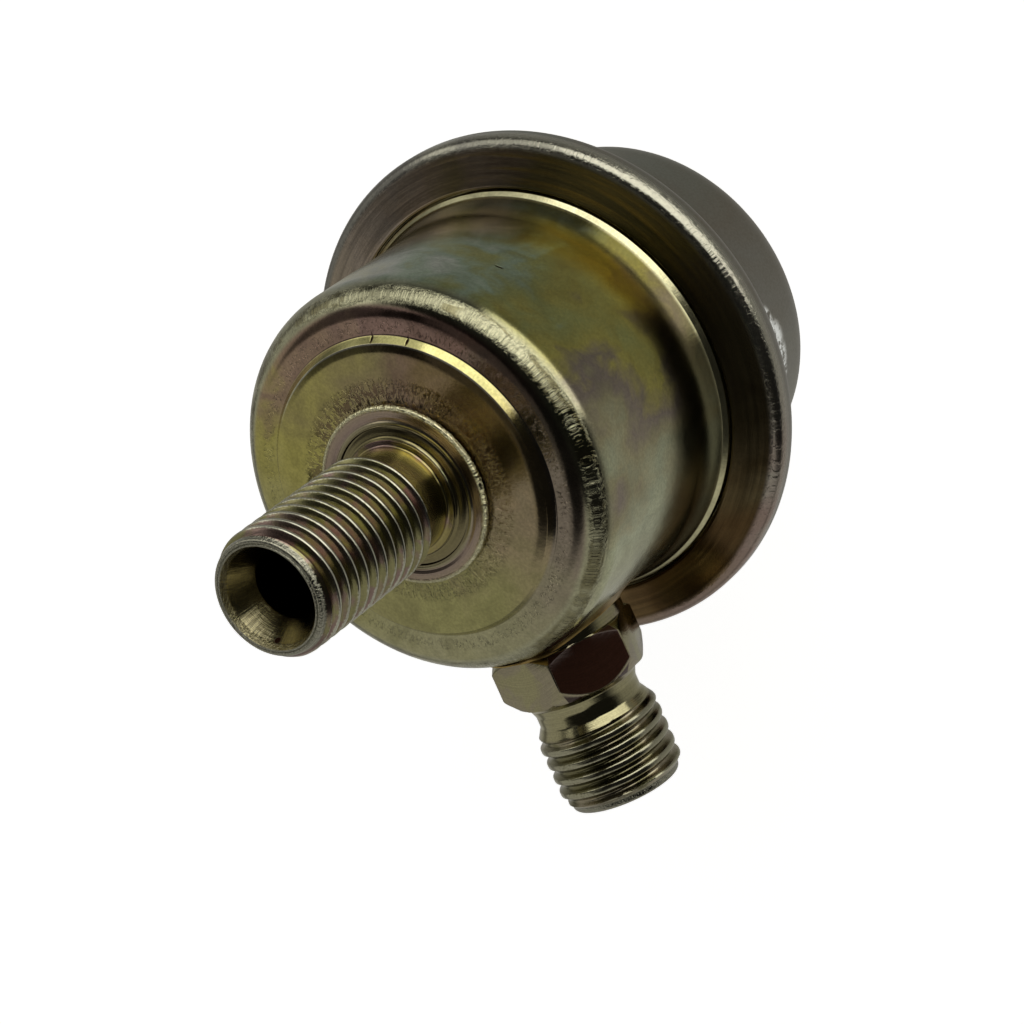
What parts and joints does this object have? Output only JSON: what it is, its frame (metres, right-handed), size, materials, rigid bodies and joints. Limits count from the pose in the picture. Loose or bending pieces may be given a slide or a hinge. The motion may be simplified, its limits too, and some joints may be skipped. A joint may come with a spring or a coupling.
{
  "type": "fuel pressure regulator",
  "caption": "Engine fuel pressure regulator: crimped steel cups round a sprung diaphragm valve, with a threaded return stub, a side inlet union and a vacuum nipple.",
  "frame": {"origin": "centre of the return fitting's boss face, where the bracket seats", "axes": "+Z along the main axis towards the end of the return thread; the side inlet leaves along -X"},
  "size_m": [0.0614, 0.0506, 0.0841],
  "materials": {
    "yellow_chromate_cup": "drawn steel, yellow chromate over zinc, glossy and iridescent",
    "pale_chromate_cup": "drawn steel, pale chromate over zinc, satin",
    "yellow_chromate_fitting": "turned steel, yellow chromate over zinc, worn bright on the thread crests",
    "braze": "brazing metal under chromate",
    "hardened_steel": "ground and lapped",
    "diaphragm_rubber": "fabric-backed rubber, matt",
    "holder_brass": "turned",
    "spring_wire": "drawn spring wire",
    "zinc_sheet": "pressed sheet, zinc plated",
    "plated_nipple": "turned steel, pale chromate over zinc"
  },
  "bodies": {
    "housing": {"fuel_chamber_cup": "yellow_chromate_cup", "spring_chamber_cup": "pale_chromate_cup", "return_fitting": "yellow_chromate_fitting", "return_braze_ring": "braze", "valve_seat": "hardened_steel", "inlet_fitting": "yellow_chromate_fitting", "inlet_braze_ring": "braze", "diaphragm": "diaphragm_rubber", "main_spring": "spring_wire", "spring_pan": "zinc_sheet", "vacuum_nipple": "plated_nipple", "nipple_braze_ring": "braze"},
    "valve": {"valve_holder": "holder_brass", "valve_plate": "hardened_steel", "valve_ball": "hardened_steel", "ball_spring": "spring_wire", "snap_ring": "spring_wire", "spring_plate": "zinc_sheet"}
  },
  "joints": [
    {"name": "valve_lift", "type": "slide", "parent": "housing", "child": "valve", "axis": [0, 0, -1], "range_m": [0, 0.0008], "stiffness_N_per_m": 8500, "springref_m": -0.0002, "deforming": ["main_spring", "diaphragm"]}
  ]
}
